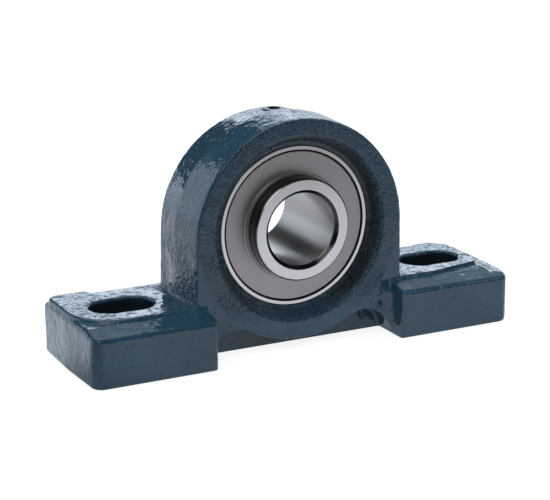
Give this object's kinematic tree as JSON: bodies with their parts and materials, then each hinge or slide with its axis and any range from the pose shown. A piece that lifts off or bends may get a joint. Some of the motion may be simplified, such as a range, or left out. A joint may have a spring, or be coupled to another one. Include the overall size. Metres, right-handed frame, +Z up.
{
  "type": "pillow block bearing",
  "caption": "Cast pillow block with slotted feet and a self-aligning insert ball bearing that carries a shaft through its bore.",
  "frame": {"origin": "middle of the base's underside", "axes": "+X along the base, +Y along the shaft towards the set screws, +Z up"},
  "size_m": [0.127, 0.038, 0.0637],
  "materials": {
    "cast_enamel": "glossy blue-grey enamel over a rough casting",
    "ring_steel": "fine ground bearing steel",
    "ball_steel": "mirror polished",
    "cage_steel": "pressed sheet steel",
    "flinger_steel": "satin rolled sheet",
    "seal_steel": "plain sheet steel",
    "seal_rubber": "matt black nitrile",
    "screw_steel": "black oxide",
    "fitting_steel": "zinc plated, partly painted over",
    "spring_steel": "bright wire"
  },
  "bodies": {
    "housing": {"housing": "cast_enamel", "grease_fitting": "fitting_steel", "grease_spring": "spring_steel"},
    "outer_ring": {"outer_ring": "ring_steel", "front_seal_core": "seal_steel", "front_seal_lip": "seal_rubber", "rear_seal_core": "seal_steel", "rear_seal_lip": "seal_rubber"},
    "inner_ring": {"inner_ring": "ring_steel", "front_flinger": "flinger_steel", "rear_flinger": "flinger_steel"},
    "cage": {"cage_front": "cage_steel", "cage_rear": "cage_steel", "cage_rivets": "cage_steel"},
    "ball_1": {"ball_1": "ball_steel"},
    "ball_2": {"ball_2": "ball_steel"},
    "ball_3": {"ball_3": "ball_steel"},
    "ball_4": {"ball_4": "ball_steel"},
    "ball_5": {"ball_5": "ball_steel"},
    "ball_6": {"ball_6": "ball_steel"},
    "ball_7": {"ball_7": "ball_steel"},
    "ball_8": {"ball_8": "ball_steel"},
    "set_screw_1": {"set_screw_1": "screw_steel"},
    "set_screw_2": {"set_screw_2": "screw_steel"},
    "grease_check_ball": {"grease_check_ball": "ball_steel"}
  },
  "joints": [
    {"name": "insert_swivel", "type": "hinge", "parent": "housing", "child": "outer_ring", "pos_m": [0, 0, 0.0333], "axis": [1, 0, 0], "range_deg": [-2, 2]},
    {"name": "shaft_spin", "type": "hinge", "parent": "outer_ring", "child": "inner_ring", "pos_m": [0, 0, 0.0333], "axis": [0, 1, 0], "continuous": true},
    {"name": "cage_orbit", "type": "hinge", "parent": "outer_ring", "child": "cage", "pos_m": [0, 0, 0.0333], "axis": [0, 1, 0], "continuous": true},
    {"name": "ball_1_spin", "type": "hinge", "parent": "cage", "child": "ball_1", "pos_m": [0, 0, 0.05005], "axis": [0, 1, 0], "continuous": true},
    {"name": "ball_2_spin", "type": "hinge", "parent": "cage", "child": "ball_2", "pos_m": [-0.01184, 0, 0.04514], "axis": [0, 1, 0], "continuous": true},
    {"name": "ball_3_spin", "type": "hinge", "parent": "cage", "child": "ball_3", "pos_m": [-0.01675, 0, 0.0333], "axis": [0, 1, 0], "continuous": true},
    {"name": "ball_4_spin", "type": "hinge", "parent": "cage", "child": "ball_4", "pos_m": [-0.01184, 0, 0.02146], "axis": [0, 1, 0], "continuous": true},
    {"name": "ball_5_spin", "type": "hinge", "parent": "cage", "child": "ball_5", "pos_m": [0, 0, 0.01655], "axis": [0, 1, 0], "continuous": true},
    {"name": "ball_6_spin", "type": "hinge", "parent": "cage", "child": "ball_6", "pos_m": [0.01184, 0, 0.02146], "axis": [0, 1, 0], "continuous": true},
    {"name": "ball_7_spin", "type": "hinge", "parent": "cage", "child": "ball_7", "pos_m": [0.01675, 0, 0.0333], "axis": [0, 1, 0], "continuous": true},
    {"name": "ball_8_spin", "type": "hinge", "parent": "cage", "child": "ball_8", "pos_m": [0.01184, 0, 0.04514], "axis": [0, 1, 0], "continuous": true},
    {"name": "set_screw_1_travel", "type": "slide", "parent": "inner_ring", "child": "set_screw_1", "axis": [0, 0, 1], "range_m": [-0.001, 0.002]},
    {"name": "set_screw_2_travel", "type": "slide", "parent": "inner_ring", "child": "set_screw_2", "axis": [-0.866, 0, -0.5], "range_m": [-0.001, 0.002]},
    {"name": "check_ball_travel", "type": "slide", "parent": "housing", "child": "grease_check_ball", "axis": [0, 0, -1], "range_m": [0, 0.0006], "stiffness_N_per_m": 200, "springref_m": -0.0005, "deforming": ["grease_spring"]}
  ],
  "couplings": [
    {"joint": "cage_orbit", "follows": "shaft_spin", "ratio": 0.38152},
    {"joint": "ball_1_spin", "follows": "shaft_spin", "ratio": -1.9916},
    {"joint": "ball_2_spin", "follows": "shaft_spin", "ratio": -1.9916},
    {"joint": "ball_3_spin", "follows": "shaft_spin", "ratio": -1.9916},
    {"joint": "ball_4_spin", "follows": "shaft_spin", "ratio": -1.9916},
    {"joint": "ball_5_spin", "follows": "shaft_spin", "ratio": -1.9916},
    {"joint": "ball_6_spin", "follows": "shaft_spin", "ratio": -1.9916},
    {"joint": "ball_7_spin", "follows": "shaft_spin", "ratio": -1.9916},
    {"joint": "ball_8_spin", "follows": "shaft_spin", "ratio": -1.9916}
  ]
}
